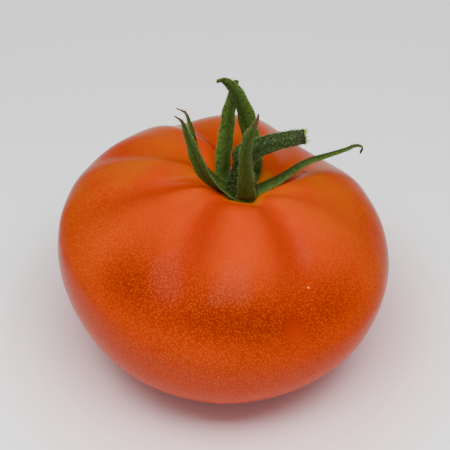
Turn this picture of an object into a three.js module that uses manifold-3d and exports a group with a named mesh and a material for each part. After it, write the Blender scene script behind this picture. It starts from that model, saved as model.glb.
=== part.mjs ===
// Ribbed beefsteak tomato, picked with its calyx and a cut piece of stem.
// Millimetres, +Z up. The origin is the middle of the small flat spot that the fruit rests on.
// +X is to the right of the cut stem's foot, towards the cut end, and -Y is the front.
import * as THREE from 'three';
import { mergeVertices } from 'three/addons/utils/BufferGeometryUtils.js';
import Module from 'manifold-3d';

const wasm = await Module();
wasm.setup();

// Driving dimensions of the fruit.
const EQUATOR_RADIUS = 43.1;      // mean radius at its widest, before the ribs
const EQUATOR_HEIGHT = 34.1;      // from the floor to the widest level
const EQUATOR_OFFSET = -2.2;      // along X, from the flat spot's middle to the fruit's axis
const SHOULDER_RISE = 24.6;       // from the widest level to the shoulders
const BASE_DROP = 35.0;           // from the widest level to the round base, before the flat spot
const SHOULDER_POWER = 1.85;      // 2 is an ellipse, less is more conical, more is squarer
const BASE_POWER = 2.14;
const CAVITY_DEPTH = 6.1;         // hollow that the calyx sits in
const CAVITY_REACH = 8;
const CAVITY_SHIFT = 2;           // the hollow lies off the axis, towards +X
const BASE_SHIFT = -1.5;          // the base lies off the axis, under the fruit's weight
const LEAN = 7.8;                 // degrees that the fruit leans towards +X
const GAP = 0.4;                  // clearance of the calyx over the skin

// One groove for each line between two ribs, counter-clockwise from above, in degrees and mm.
// fan is how far the groove turns on its way in to the hollow, and swell how far the rib after it
// stands out (or, below zero, is flattened).
const GROOVES = [
  { at: -177, fan: 0, depth: 2.0, sharpness: 3.0, swell: -1.0 },
  { at: -116, fan: -27, depth: 2.0, sharpness: 2.0, swell: 0.7 },
  { at: -60, fan: 15, depth: 1.8, sharpness: 2.0, swell: 0.3 },
  { at: -1, fan: -12, depth: 0.8, sharpness: 2.0, swell: -0.4 },
  { at: 55.5, fan: -45, depth: 4.1, sharpness: 0.9, swell: 1.0 },
  { at: 112.5, fan: 0, depth: 2.3, sharpness: 3.0, swell: -0.2 },
  { at: 150, fan: 0, depth: 1.3, sharpness: 2.0, swell: -0.2 },
];
const FAN_REACH = 17;             // distance from the axis where most of the fan is over
const GROOVE_FADE = [-4, 20];     // heights over the widest level where grooves begin and are full
const SWELL_FADE = [-34, 2];      // the same for the ribs' swell
const RIB_START = 9;              // distance from the axis where ribs are well under way
const SHIFT_ABOVE = [0, 27];      // heights over that level where CAVITY_SHIFT begins and is full
const SHIFT_BELOW = [12, 34];     // depths under it where BASE_SHIFT begins and is full

// Driving dimensions of the calyx: a small disc in the hollow with six sepals round its rim.
const CALYX = [2.3, 0.1, 52.7];   // middle of the disc
const DISC_RADIUS = 4.2;
const DISC_TOP = 2.2;             // above and below the disc's middle
const DISC_BOTTOM = 2.6;
const SEPAL_THICKNESS = 0.8;
const SEPAL_EDGE = 0.75;          // share of the thickness that is left at a sepal's edges
const SEPAL_END = 0.8;            // least width of a sepal, at its tip

// Each sepal's middle line from the calyx's middle, and its widths at even steps from root to tip.
// across is the way that its width runs at the root and at the tip, and cup is the share of the
// width by which its edges bend towards the stem.
const SEPALS = [
  { // front, upright, its tip nodding right
    path: [[0.6, -2.5, 0.9], [0.9, -4.4, 2.4], [0.9, -5.1, 5.4], [0.8, -6.0, 11.5], [0.6, -7.2, 18.2],
      [1.1, -8.2, 24.6], [2.4, -8.8, 29.8], [3.5, -8.7, 32.5], [3.8, -8.3, 34.2]],
    widths: [5.0, 4.1, 3.4, 2.8, 2.4, 1.0],
    across: [[-1, 0, 0], [-0.9, 0, 0.5]],
    cup: -0.12,
  },
  { // left front, leaning out, its tip curled out
    path: [[-1.8, -1.5, 0.9], [-3.3, -2.3, 1.9], [-4.7, -2.7, 3.2], [-7.7, -3.5, 7.2], [-10.6, -4.2, 13.6],
      [-12.4, -4.6, 20.0], [-13.8, -4.8, 25.0], [-15.0, -5.0, 29.0], [-16.6, -5.2, 30.7]],
    widths: [3.0, 3.3, 3.7, 2.9, 1.6, 0.8],
    across: [[-0.75, 0.6, 0], [-0.85, -0.2, -0.4]],
    cup: 0.16,
  },
  { // left back, behind the last, its tip bent out
    path: [[-2.2, 0.3, 0.9], [-3.8, 0.5, 2.0], [-5.5, 0.7, 3.0], [-8.6, 1.8, 5.9], [-11.2, 3.1, 11.0],
      [-12.3, 4.1, 16.1], [-13.2, 4.7, 19.8], [-14.1, 5.1, 22.7], [-16.4, 5.7, 23.6]],
    widths: [2.6, 3.0, 3.2, 2.6, 1.7, 0.8],
    across: [[0.2, 1, 0], [0.3, 1, 0]],
    cup: 0.16,
  },
  { // back left, upright behind the stem
    path: [[-1.8, 1.9, 0.9], [-3.6, 2.9, 2.3], [-4.9, 3.6, 3.6], [-4.7, 5.1, 6.2], [-4.3, 7.0, 10.0],
      [-3.8, 8.7, 13.4], [-3.3, 10.4, 18.1], [-2.5, 11.7, 21.9], [-1.5, 13.0, 26.4]],
    widths: [3.6, 4.3, 4.3, 3.7, 2.7, 1.2],
    across: [[0.8, 0.6, 0], [1, 0, 0]],
    cup: 0.12,
  },
  { // back right, the broadest, its tip curled over to the left
    path: [[0.9, 2.4, 0.9], [2.2, 3.8, 1.7], [2.7, 5.0, 2.9], [2.5, 6.6, 6.2], [2.1, 7.7, 10.3],
      [1.3, 8.7, 15.5], [0.0, 9.4, 20.6], [-1.5, 10.0, 24.6], [-3.0, 10.0, 27.4], [-4.6, 9.6, 29.2],
      [-6.4, 9.0, 29.4]],
    widths: [3.6, 4.8, 5.1, 4.8, 3.2, 0.9],
    across: [[0.95, -0.3, 0], [0, 0, 1]],
    cup: 0.12,
  },
  { // right, low over the shoulder, its tip hooked down
    path: [[2.4, 0.6, 0.7], [4.4, 1.0, 1.1], [7.8, 2.2, 2.0], [11.2, 4.1, 3.0], [14.1, 5.8, 4.0],
      [17.3, 7.3, 4.6], [20.5, 8.8, 4.7], [23.7, 10.2, 4.6], [26.5, 11.2, 4.9], [28.6, 11.9, 5.4],
      [30.1, 12.2, 5.2], [30.8, 12.3, 4.1], [30.2, 12.1, 2.6]],
    widths: [3.6, 3.3, 2.5, 2.1, 1.4, 0.8],
    across: [[0.2, -1, 0], [0.3, -1, 0]],
    cup: 0.14,
  },
];

// Driving dimensions of the stem, from the calyx's middle: foot, knuckle and cut piece.
const STEM_SIDES = 14;
const FOOT_PATH = [[-0.2, 0, 2.8], [0, 0, 5.1], [0.1, 0, 7.8], [0.2, 0, 10.4], [0.3, 0, 12.6]];
const FOOT_RADII = [3.4, 3.2, 2.8, 2.35, 2.5];
const KNUCKLE_CENTRE = [0.4, 0, 12.9];
const KNUCKLE_RADII = [3.2, 2.5, 2.5];
const CUT_PATH = [[0.9, 0, 13.4], [2.6, 0, 14.7], [4.4, 0, 15.8], [7.6, 0, 17.3], [11.5, 0, 18.5],
  [15.6, 0, 19.4]];
const CUT_RADII = [2.4, 2.35, 2.3, 2.15, 2.0, 1.9];
const CUT_SLANT = -6;             // degrees that the cut face tips from square, its top back

// How finely each surface is divided.
const FRUIT_SECTORS = 80;
const FRUIT_BANDS = 42;
const SEPAL_STEPS = 18;
const SEPAL_COLUMNS = 4;
const STEM_STEPS = 9;
const DISC_SIDES = 20;

const X = 0;
const Y = 1;
const Z = 2;

function radians(degrees) {
  return THREE.MathUtils.degToRad(degrees);
}

// The turn from one direction round to another, from 0 to a full turn.
function turnFrom(start, end) {
  return THREE.MathUtils.euclideanModulo(end - start, 2 * Math.PI);
}

// How far the skin stands out at an azimuth, a height and a distance from the axis: grooves
// pressed in, ribs swollen between.
function ribRelief(azimuth, height, radius) {
  const near = Math.exp(-((radius / FAN_REACH) ** 2));
  const lines = GROOVES.map((groove) => radians(groove.at + groove.fan * near));
  const turns = lines.map((line) => turnFrom(line, azimuth));
  const index = turns.indexOf(Math.min(...turns));
  const next = (index + 1) % GROOVES.length;
  const share = turns[index] / turnFrom(lines[index], lines[next]);
  const nearness = (1 + Math.cos(2 * Math.PI * share)) / 2;
  const groove = GROOVES[share < 0.5 ? index : next];
  const swell = GROOVES[index].swell * (1 - nearness) * THREE.MathUtils.smoothstep(height, ...SWELL_FADE);
  const press = groove.depth * nearness ** groove.sharpness;
  return swell - press * THREE.MathUtils.smoothstep(height, ...GROOVE_FADE);
}

// A point of the skin: a lobed superellipse of revolution with a hollow in its top, leant over.
// grow moves the skin outwards by that much.
function skinPoint(latitude, azimuth, grow) {
  const upper = latitude > 0;
  const power = 2 / (upper ? SHOULDER_POWER : BASE_POWER);
  const reach = upper ? SHOULDER_RISE : BASE_DROP;
  const level = Math.abs(Math.sin(latitude));
  const out = Math.max(Math.cos(latitude), 0);
  const radius = EQUATOR_RADIUS * out ** power;
  const height = (upper ? 1 : -1) * reach * level ** power;

  const normal = new THREE.Vector2(out / EQUATOR_RADIUS, Math.sin(latitude) / reach).normalize();
  const start = 1 - Math.exp(-((radius / RIB_START) ** 2));
  const lift = ribRelief(azimuth, height, radius) * start + grow;
  const dip = upper ? CAVITY_DEPTH * Math.exp(-((radius / CAVITY_REACH) ** 2)) : 0;

  const ring = radius + normal.x * lift;
  const shift = CAVITY_SHIFT * THREE.MathUtils.smoothstep(height, ...SHIFT_ABOVE)
    + BASE_SHIFT * THREE.MathUtils.smoothstep(-height, ...SHIFT_BELOW);
  const point = new THREE.Vector3(
    ring * Math.cos(azimuth) + shift,
    ring * Math.sin(azimuth),
    height - dip + normal.y * lift,
  );
  point.applyAxisAngle(new THREE.Vector3(0, 1, 0), radians(LEAN));
  return point.add(new THREE.Vector3(EQUATOR_OFFSET, 0, EQUATOR_HEIGHT));
}

// A closed solid from a geometry whose doubled vertices are merged.
function solidOf(geometry) {
  const bare = geometry.index ? geometry.clone() : geometry;
  bare.deleteAttribute('normal');
  bare.deleteAttribute('uv');
  const merged = mergeVertices(bare);
  return new wasm.Manifold(new wasm.Mesh({
    numProp: 3,
    vertProperties: new Float32Array(merged.attributes.position.array),
    triVerts: new Uint32Array(merged.index.array),
  }));
}

// The geometry of a solid.
function geometryOf(solid) {
  const mesh = solid.getMesh();
  const geometry = new THREE.BufferGeometry();
  geometry.setAttribute('position', new THREE.BufferAttribute(mesh.vertProperties, mesh.numProp));
  geometry.setIndex(new THREE.BufferAttribute(mesh.triVerts, 1));
  geometry.computeVertexNormals();
  return geometry;
}

// A sphere's vertices, each moved to the skin at its latitude and azimuth.
function skinSolid(grow) {
  const geometry = new THREE.SphereGeometry(1, FRUIT_SECTORS, FRUIT_BANDS);
  const position = geometry.attributes.position;
  const vertex = new THREE.Vector3();
  for (let i = 0; i < position.count; i += 1) {
    vertex.fromBufferAttribute(position, i);
    const latitude = Math.asin(THREE.MathUtils.clamp(vertex.y, -1, 1));
    const onAxis = Math.hypot(vertex.x, vertex.z) < 1e-6;
    const azimuth = onAxis ? 0 : Math.atan2(-vertex.z, vertex.x);
    const point = skinPoint(latitude, azimuth, grow);
    position.setXYZ(i, point.x, point.y, point.z);
  }
  return solidOf(geometry);
}

// Rings of points, all alike in number, joined into one closed body with flat ends.
function loft(rings) {
  const count = rings[0].length;
  const points = rings.flat();
  const faces = [];
  for (let r = 0; r < rings.length - 1; r += 1) {
    for (let k = 0; k < count; k += 1) {
      const here = r * count + k;
      const next = r * count + ((k + 1) % count);
      faces.push(here, next, next + count, here, next + count, here + count);
    }
  }
  const last = (rings.length - 1) * count;
  for (let k = 1; k < count - 1; k += 1) {
    faces.push(0, k + 1, k, last, last + k, last + k + 1);
  }
  const geometry = new THREE.BufferGeometry();
  geometry.setAttribute('position', new THREE.Float32BufferAttribute(points.flatMap((p) => p.toArray()), 3));
  geometry.setIndex(faces);
  return geometry;
}

// A smooth curve through points that are given from the calyx's middle.
function curveFromCalyx(path) {
  const points = path.map((p) => new THREE.Vector3(p[X] + CALYX[X], p[Y] + CALYX[Y], p[Z] + CALYX[Z]));
  return new THREE.CatmullRomCurve3(points, false, 'centripetal');
}

// A smooth change between values that stand at even steps from 0 to 1.
function evenCurve(values) {
  const curve = new THREE.SplineCurve(values.map((value, i) => new THREE.Vector2(i, value)));
  return (t) => curve.getPoint(t).y;
}

// One section of a sepal: a thin strip, cupped across, counter-clockwise seen from its tip.
function sepalSection(centre, across, face, width, cup) {
  const section = [];
  const place = (u, side) => {
    const hollow = cup * width * u * u;
    const half = (SEPAL_THICKNESS / 2) * (1 - (1 - SEPAL_EDGE) * u * u);
    section.push(centre.clone()
      .addScaledVector(across, (u * width) / 2)
      .addScaledVector(face, hollow + side * half));
  };
  for (let c = 0; c <= SEPAL_COLUMNS; c += 1) {
    place(-1 + (2 * c) / SEPAL_COLUMNS, -1);
  }
  for (let c = SEPAL_COLUMNS; c >= 0; c -= 1) {
    place(-1 + (2 * c) / SEPAL_COLUMNS, 1);
  }
  return section;
}

// A sepal: its section carried along its middle line, tapering, with a narrow blunt tip.
function sepal({ path, widths, across, cup }) {
  const curve = curveFromCalyx(path);
  const widthAt = evenCurve(widths);
  const [rootAcross, tipAcross] = across.map((direction) => new THREE.Vector3(...direction).normalize());
  const rings = [];
  for (let i = 0; i <= SEPAL_STEPS; i += 1) {
    const t = i / SEPAL_STEPS;
    const tangent = curve.getTangentAt(t);
    const side = rootAcross.clone().lerp(tipAcross, t);
    side.addScaledVector(tangent, -side.dot(tangent)).normalize();
    const face = side.clone().cross(tangent).negate();
    const width = Math.max(widthAt(t), SEPAL_END);
    rings.push(sepalSection(curve.getPointAt(t), side, face, width, cup));
  }
  return solidOf(loft(rings));
}

// The calyx's disc: a short drum, rounded below, in the fruit's hollow.
function discSolid() {
  const profile = [
    [0, -DISC_BOTTOM],
    [DISC_RADIUS * 0.7, -DISC_BOTTOM * 0.8],
    [DISC_RADIUS, 0],
    [DISC_RADIUS, DISC_TOP * 0.6],
    [DISC_RADIUS * 0.85, DISC_TOP],
    [0, DISC_TOP],
  ].map(([radius, height]) => new THREE.Vector2(radius, height));
  const geometry = new THREE.LatheGeometry(profile, DISC_SIDES);
  geometry.rotateX(Math.PI / 2);
  geometry.rotateY(radians(LEAN));
  geometry.translate(...CALYX);
  return solidOf(geometry);
}

// A round bar whose radius changes along its middle line. slant tips its last face.
function bar(path, radii, slant) {
  const curve = curveFromCalyx(path);
  const radiusAt = evenCurve(radii);
  const rings = [];
  for (let i = 0; i <= STEM_STEPS; i += 1) {
    const t = i / STEM_STEPS;
    const tangent = curve.getTangentAt(t);
    const side = new THREE.Vector3(0, 1, 0);
    const up = tangent.clone().cross(side).normalize();
    const lean = i === STEM_STEPS ? Math.tan(radians(slant)) : 0;
    const radius = radiusAt(t);
    const centre = curve.getPointAt(t);
    const ring = [];
    for (let k = 0; k < STEM_SIDES; k += 1) {
      const angle = (2 * Math.PI * k) / STEM_SIDES;
      ring.push(centre.clone()
        .addScaledVector(up, radius * Math.cos(angle))
        .addScaledVector(side, -radius * Math.sin(angle))
        .addScaledVector(tangent, lean * radius * Math.cos(angle)));
    }
    rings.push(ring);
  }
  return solidOf(loft(rings));
}

function knuckleSolid() {
  const geometry = new THREE.SphereGeometry(1, STEM_SIDES, STEM_SIDES / 2);
  geometry.scale(...KNUCKLE_RADII);
  geometry.translate(...KNUCKLE_CENTRE.map((value, axis) => value + CALYX[axis]));
  return solidOf(geometry);
}

// The fruit, cut flat at the floor.
function fruit() {
  const width = 4 * EQUATOR_RADIUS;
  const below = new THREE.BoxGeometry(width, width, BASE_DROP);
  below.translate(0, 0, -BASE_DROP / 2);
  return skinSolid(0).subtract(solidOf(below));
}

// The disc and its sepals as one body, clear of the fruit below them.
function calyx() {
  const joined = SEPALS.map(sepal).reduce((sum, blade) => sum.add(blade), discSolid());
  return joined.subtract(skinSolid(GAP));
}

function stem() {
  const foot = bar(FOOT_PATH, FOOT_RADII, 0);
  const cutPiece = bar(CUT_PATH, CUT_RADII, CUT_SLANT);
  return foot.add(knuckleSolid()).add(cutPiece);
}

function mesh(name, solid, look) {
  const part = new THREE.Mesh(geometryOf(solid), new THREE.MeshStandardMaterial(look));
  part.name = name;
  return part;
}

const tomato = new THREE.Group();
tomato.add(mesh('fruit', fruit(), { color: 0xc8501c, roughness: 0.35, metalness: 0 }));
tomato.add(mesh('calyx', calyx(), { color: 0x3f5a2c, roughness: 0.75, metalness: 0 }));
tomato.add(mesh('stem', stem(), { color: 0x4c6134, roughness: 0.8, metalness: 0 }));

export default tomato;
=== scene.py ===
"""Ribbed beefsteak tomato with its calyx and a cut piece of stem.

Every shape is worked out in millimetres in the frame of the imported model, +Z up, with the
origin in the middle of the flat spot that the fruit rests on, and is put into its mesh in
metres.
"""

import bpy
import numpy as np
from bpy.props import FloatProperty, FloatVectorProperty, IntProperty, PointerProperty
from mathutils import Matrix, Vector


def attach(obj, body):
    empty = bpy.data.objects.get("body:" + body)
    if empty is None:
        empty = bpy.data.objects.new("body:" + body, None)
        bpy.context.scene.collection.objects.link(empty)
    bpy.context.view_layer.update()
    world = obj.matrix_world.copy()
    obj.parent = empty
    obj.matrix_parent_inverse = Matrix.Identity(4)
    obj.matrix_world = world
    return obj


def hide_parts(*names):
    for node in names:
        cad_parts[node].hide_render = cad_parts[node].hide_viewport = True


bl_info = {
    "name": "Ribbed Tomato",
    "version": (1, 0, 0),
    "blender": (4, 5, 0),
    "location": "3D View > Sidebar > Tomato",
    "description": "Builds a ribbed tomato with its calyx, cut stem and hairs",
    "category": "Add Mesh",
}

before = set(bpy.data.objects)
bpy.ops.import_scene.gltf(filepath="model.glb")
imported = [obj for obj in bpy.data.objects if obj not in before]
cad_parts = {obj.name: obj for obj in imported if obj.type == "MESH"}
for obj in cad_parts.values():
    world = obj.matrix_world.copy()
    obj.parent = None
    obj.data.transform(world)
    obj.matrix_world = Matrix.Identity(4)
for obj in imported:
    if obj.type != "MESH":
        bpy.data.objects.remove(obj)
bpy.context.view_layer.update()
BODY = "root"
MM = 0.001

# The fruit, in mm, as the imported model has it.
EQUATOR_RADIUS = 43.1
EQUATOR_CENTRE = np.array([-2.2, 0.0, 34.1])
SHOULDER_RISE = 24.6
BASE_DROP = 35.0
SHOULDER_POWER = 1.85
BASE_POWER = 2.14
CAVITY_DEPTH = 6.1
CAVITY_REACH = 8.0
CAVITY_SHIFT = 2.0
BASE_SHIFT = -1.5
LEAN = np.radians(7.8)
RIB_START = 9.0
FAN_REACH = 17.0
GROOVE_FADE = (-4.0, 20.0)
SWELL_FADE = (-34.0, 2.0)
SHIFT_ABOVE = (0.0, 27.0)
SHIFT_BELOW = (12.0, 34.0)

# Each groove: its azimuth in degrees, how far it turns on its way in to the hollow, its depth and
# sharpness, and the swell of the rib after it.
GROOVES = np.array([
    (-177.0, 0.0, 2.0, 3.0, -1.0),
    (-116.0, -27.0, 2.0, 2.0, 0.7),
    (-60.0, 15.0, 1.8, 2.0, 0.3),
    (-1.0, -12.0, 0.8, 2.0, -0.4),
    (55.5, -45.0, 4.1, 0.9, 1.0),
    (112.5, 0.0, 2.3, 3.0, -0.2),
    (150.0, 0.0, 1.3, 2.0, -0.2),
])
GROOVE_AT, GROOVE_FAN, GROOVE_DEPTH, GROOVE_SHARPNESS, RIB_SWELL = GROOVES.T

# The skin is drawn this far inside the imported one, so its finer mesh stays in the same box.
SKIN_INSET = 0.06
SKIN_COLUMNS = 400
SKIN_ROWS = 190
DENT_SIZE = 16.0             # from one shallow dent to the next
DENT_SEED = 5
# Small marks on the skin, each at a latitude and an azimuth in degrees, and its radius in mm; the pale
# one is a painted glint.
DRY_MARK = (60.0, 33.5, 0.85)
GLINT_MARK = (39.5, -55.5, 0.25)
SMOOTH_SPOT = (22.0, -66.0, 4.4)
GREEN_PATCH = (77.5, 38.0, 2.8)
MARK_CORE = 0.6              # share of the dry mark's or the painted glint's radius that is full in colour
SPOT_CORE = 0.2              # the same for the smooth spot and the green patch

# Where each tone of the skin begins and is full, and how large its share is.
FRONT = np.radians(-92)      # the azimuth where the belt of painted shade is deepest
FRONT_FADE = (-0.1, 0.8)     # cosines of the azimuth from FRONT
UNDER_FADE = (-5.0, 7.0)     # depths under the widest level, where painted bounce light and floor reflection pale the skin
# The belt is painted shade: a darker red band across the front, where the skin turns from the softbox
# and mirrors the dark room.
BELT_HEIGHT = 10.8           # over the widest level
BELT_SPREAD = 5.2
BELT_FADE = (0.42, 0.82)     # cosines, as for the front
BELT_SHARE = 0.95
BELT_IN_SPOT = 0.4           # share of the belt that the smooth spot takes away
FLECK_FADE = (12.0, 22.5)    # heights over the widest level where flecks thin out
FLECK_THINNING = 0.75
FLECK_SHARE = (0.37, 0.14)   # all round, and how much more in front
GROOVE_SHARE = (0.65, 0.25)
COLLAR_FADE = (5.0, 7.2)     # distances from the calyx's middle
COLLAR_SHARE = 0.5
GREEN_SHARE = 0.7
SCAR_FADE = (1.8, 3.4)       # distances from the lowest point

# Sizes of the skin's fine patterns.
FLECK_SPACING = 0.45
WANDER = 0.9                 # how far flecks are moved out of an even net
WANDER_SIZE = 2.2
PATCH_SIZE = 14.0
SKIN_GRAIN = 1.1
SKIN_GRAIN_DEPTH = 0.1
FLESH_DEPTH = 3.0            # how deep light goes into the flesh

# The calyx: a disc in the hollow, and sepals whose points start at the disc's middle.
CALYX = np.array([2.3, 0.1, 52.7])
DISC_RADIUS = 4.2
SEPALS = {
    "front": {
        "path": [(0.6, -2.5, 0.9), (0.9, -4.4, 2.4), (0.9, -5.1, 5.4), (0.8, -6.0, 11.5),
                 (0.6, -7.2, 18.2), (1.1, -8.2, 24.6), (2.4, -8.8, 29.8), (3.5, -8.7, 32.5),
                 (3.8, -8.3, 34.0)],
        "widths": [5.2, 4.2, 3.5, 2.9, 2.4, 0.5],
        "across": [(-1, 0, 0), (-0.9, 0, 0.5)],
        "cup": -0.12,
        "dry": 0.9,
        "brown": 0.5,
    },
    "left_front": {
        "path": [(-1.8, -1.5, 0.9), (-3.3, -2.3, 1.9), (-4.7, -2.7, 3.2), (-7.7, -3.5, 7.2),
                 (-10.6, -4.2, 13.6), (-12.4, -4.6, 20.0), (-13.8, -4.8, 25.0),
                 (-15.0, -5.0, 29.0), (-16.6, -5.2, 30.7)],
        "widths": [3.2, 3.4, 3.8, 3.0, 1.7, 0.4],
        "across": [(-0.75, 0.6, 0), (-0.85, -0.2, -0.4)],
        "cup": 0.16,
        "dry": 0.93,
        "brown": 0.45,
    },
    "left_back": {
        "path": [(-2.2, 0.3, 0.9), (-3.8, 0.5, 2.0), (-5.5, 0.7, 3.0), (-8.6, 1.8, 5.9),
                 (-11.2, 3.1, 11.0), (-12.3, 4.1, 16.1), (-13.2, 4.7, 19.8),
                 (-14.1, 5.1, 22.7), (-16.4, 5.7, 23.6)],
        "widths": [2.6, 3.0, 3.2, 2.6, 1.7, 0.4],
        "across": [(0.2, 1, 0), (0.3, 1, 0)],
        "cup": 0.16,
        "dry": 0.9,
        "brown": 0.1,
    },
    "back_left": {
        "path": [(-1.8, 1.9, 0.9), (-3.6, 2.9, 2.3), (-4.9, 3.6, 3.6), (-4.7, 5.1, 6.2),
                 (-4.3, 7.0, 10.0), (-3.8, 8.7, 13.4), (-3.3, 10.4, 18.1),
                 (-2.5, 11.7, 21.9), (-1.5, 13.0, 26.4)],
        "widths": [3.6, 4.3, 4.3, 3.7, 3.0, 1.3],
        "across": [(0.8, 0.6, 0), (1, 0, 0)],
        "cup": 0.12,
        "dry": 1.1,
        "brown": 0.1,
    },
    "back_right": {
        "path": [(0.9, 2.4, 0.9), (2.2, 3.8, 1.7), (2.7, 5.0, 2.9), (2.5, 6.6, 6.2),
                 (2.1, 7.7, 10.3), (1.3, 8.7, 15.5), (0.0, 9.4, 20.6), (-1.5, 10.0, 24.6),
                 (-3.0, 10.0, 27.4), (-4.6, 9.6, 29.2), (-6.4, 9.0, 29.4)],
        "widths": [3.6, 4.9, 5.2, 4.8, 3.8, 1.2],
        "across": [(0.95, -0.3, 0), (0, 0, 1)],
        "cup": 0.12,
        "dry": 1.1,
        "brown": 0.15,
    },
    "right": {
        "path": [(2.4, 0.6, 0.7), (4.4, 1.0, 1.1), (7.8, 2.2, 2.0), (11.2, 4.1, 3.0),
                 (14.1, 5.8, 4.0), (17.3, 7.3, 4.6), (20.5, 8.8, 4.7), (23.7, 10.2, 4.6),
                 (26.5, 11.2, 4.9), (28.6, 11.9, 5.4), (30.1, 12.2, 5.2), (30.8, 12.3, 4.1),
                 (30.2, 12.1, 2.6)],
        "widths": [3.8, 3.4, 2.6, 2.1, 1.7, 1.3, 0.9],
        "across": [(0.2, -1, 0), (0.3, -1, 0)],
        "cup": 0.14,
        "dry": 1.1,
        "brown": 0.1,
    },
}
SEPAL_ROWS = 110
SEPAL_SIDES = 36
SEPAL_LEAST = 0.1            # least width, at the very tip
MIDRIB_WIDTH = 0.16          # share of the half width
MIDRIB_RISE = 0.22
FURROW_SHARE = 0.6           # depth of the inner furrow, against the midrib's rise
EDGE_ROUNDING = 0.55         # power of the section: 1 is an ellipse, less is squarer
EDGE_THINNING = 0.35
RIPPLE = 0.06                # share of the half width that the rims go in and out
RIPPLE_COUNT = 5
RIPPLE_OFFSET = 0.3          # of a ripple, from one rim to the other
ROLL = 0.035                 # share of the width that the rims roll up and down
ROLL_COUNT = 3.3
TIP_FADE = (0.8, 1.0)        # shares of the length where a sepal thins to its tip
TIP_THINNING = 0.5
TIP_POINT = 0.15
DRY_FADE = (-0.04, 0.03)     # shares of the length, from where a tip is dry
BROWN_FADE = (0.1, 0.75)
SEPAL_LENGTH = 31.035        # mean, for the spacing of the side veins
VEIN_SPACING = 1.3
VEIN_SLANT = 0.12            # share of the length that a vein runs on to the rim
LEAF_MOTTLE = 0.7
LEAF_RELIEF = 0.2

DISC_SIDES = 96
DISC_ROWS = 24
DISC_BOTTOM = 2.0
DISC_TOP = 2.1
DISC_SIDE_POWER = 0.35       # both powers: 1 is a sphere, less is squarer
DISC_TOP_POWER = 0.8
LOBE_RISE = 0.06             # share of the radius that the rim swells at a sepal
LOBE_HALF = 0.5              # radians from a sepal's middle to the end of its swelling
DISC_BUMP = 0.12
DISC_BUMP_SIZE = 3.0
DISC_SEED = 8
DISC_BROWN = 0.35

# The stem: its middle line from the calyx's middle, and its radii at even steps along it.
STEM_PATH = [(-0.2, 0, 0.6), (-0.2, 0, 4.0), (0.0, 0, 7.6), (0.1, 0, 10.4), (0.5, 0, 12.5),
             (2.0, 0, 14.3), (4.4, 0, 15.8), (7.6, 0, 17.3), (11.5, 0, 18.5), (15.6, 0, 19.4)]
SIDEWAYS = np.array([0.0, 1.0, 0.0])     # square to the plane that the stem bends in
STEM_RADII = [4.0, 3.7, 3.3, 2.95, 2.55, 2.6, 2.85, 2.6, 2.4, 2.3, 2.2, 2.05, 2.0, 1.9, 1.85]
CREASE_AT = 10.1             # mm along the stem, where the knuckle's joint pinches it
CREASE_DEPTH = 0.35
CREASE_WIDTH = 0.45
KNUCKLE_AT = 12.6
KNUCKLE_SPREAD = 1.7
KNUCKLE_RISE = 0.45
KNUCKLE_ROUND = (0.55, 0.45)     # its rise on the sides, and how much more on top
STEM_RIDGES = 7
STEM_RIDGE_RISE = 0.06
STEM_RIDGE_FADE = (2.0, 8.0)     # lengths where the ridges begin and are full
STEM_TWIST = 0.05                # radians a mm
STEM_RIDGE_PALE = 0.5
STEM_BUMP = 0.07
STEM_BUMP_SIZE = 1.6
STEM_SEED = 21
STEM_ROWS = 170
STEM_SIDES = 72
STEM_STATIONS = 400              # places along the middle line that the rest is read from
STEM_MOTTLE = 1.0
STEM_SPECK = 0.6                 # from one hair root to the next
STEM_RELIEF = 0.15
WITHERED_TURN = 0.5              # radians round the stem to the side that withered most
WITHERED_REACH = (2.2, 0.2)      # mm from the cut where it begins on that side, and is full
WITHERED_SHARE = 0.8

# The cut end: shares of the rim's radius from inside the stem to the pith's middle, and how far
# each stands out past the end of the bark.
CUT_OUT = np.array([0.97, 1.0, 1.0, 0.93, 0.8, 0.65, 0.5, 0.33, 0.16])
CUT_RISE = np.array([-1.2, -0.9, 0.02, 0.06, -0.02, -0.12, -0.05, -0.12, -0.16])
CUT_WIDTH = 0.97                 # of the pith, against the bark
CUT_HOLLOW = 0.25                # how far inside the end the bark closes
CUT_BUMP = 0.09
CUT_BUMP_SIZE = 0.9
CUT_SEED = 30
PITH_GRAIN = 0.5
PITH_RELIEF = 0.2
FIBRES = 18
FIBRE_TURN = (-25.0, 120.0)      # degrees round the cut, from its top
FIBRE_OUT = (0.6, 0.85)
FIBRE_LENGTH = (0.7, 1.7)
FIBRE_RADIUS = 0.3
FIBRE_SUNK = 0.2
FIBRE_SPREAD = 0.3
FIBRE_FLARE = 0.25
FIBRE_SEED = 12

# Hairs. A spread is the chance part of a direction, beside 1 for the way straight out.
HAIR_SEED = 41
HAIR_MOTTLE = 2.0
STEM_HAIR_ENDS = (2.0, 0.3)      # mm kept free at the stem's foot and at its cut
STEM_HAIR_LEAN = 0.35            # towards the cut
STEM_HAIR_SPREAD = 0.3
STEM_HAIR_SIZES = (0.5, 1.6)     # shares of the mean length
STEM_HAIR_SUNK = 0.08
LONG_SHARE = 0.03
LONG_SIZE = 3.2
SEPAL_HAIR_ENDS = (4, 6)         # rows kept free at the root and at the tip
SEPAL_HAIR_LEAN = 0.4            # towards the tip
SEPAL_HAIR_SPREAD = 0.35
SEPAL_HAIR_SIZES = (0.4, 1.3)
SEPAL_HAIR_SUNK = 0.05
RIM_SHARE = 0.45                 # of the sepals' hairs that stand on the rims

# The camera looks down on the fruit from the front, from far off. Lens and sensor are in mm too.
CAMERA_ELEVATION = np.radians(44.0)
CAMERA_DISTANCE = 700.0
CAMERA_TARGET = np.array([-2.05, 3.7, 38.0])
CAMERA_LENS = 217.4
CAMERA_SENSOR = 36.0
CAMERA_CLIP = (10.0, 20000.0)

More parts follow.
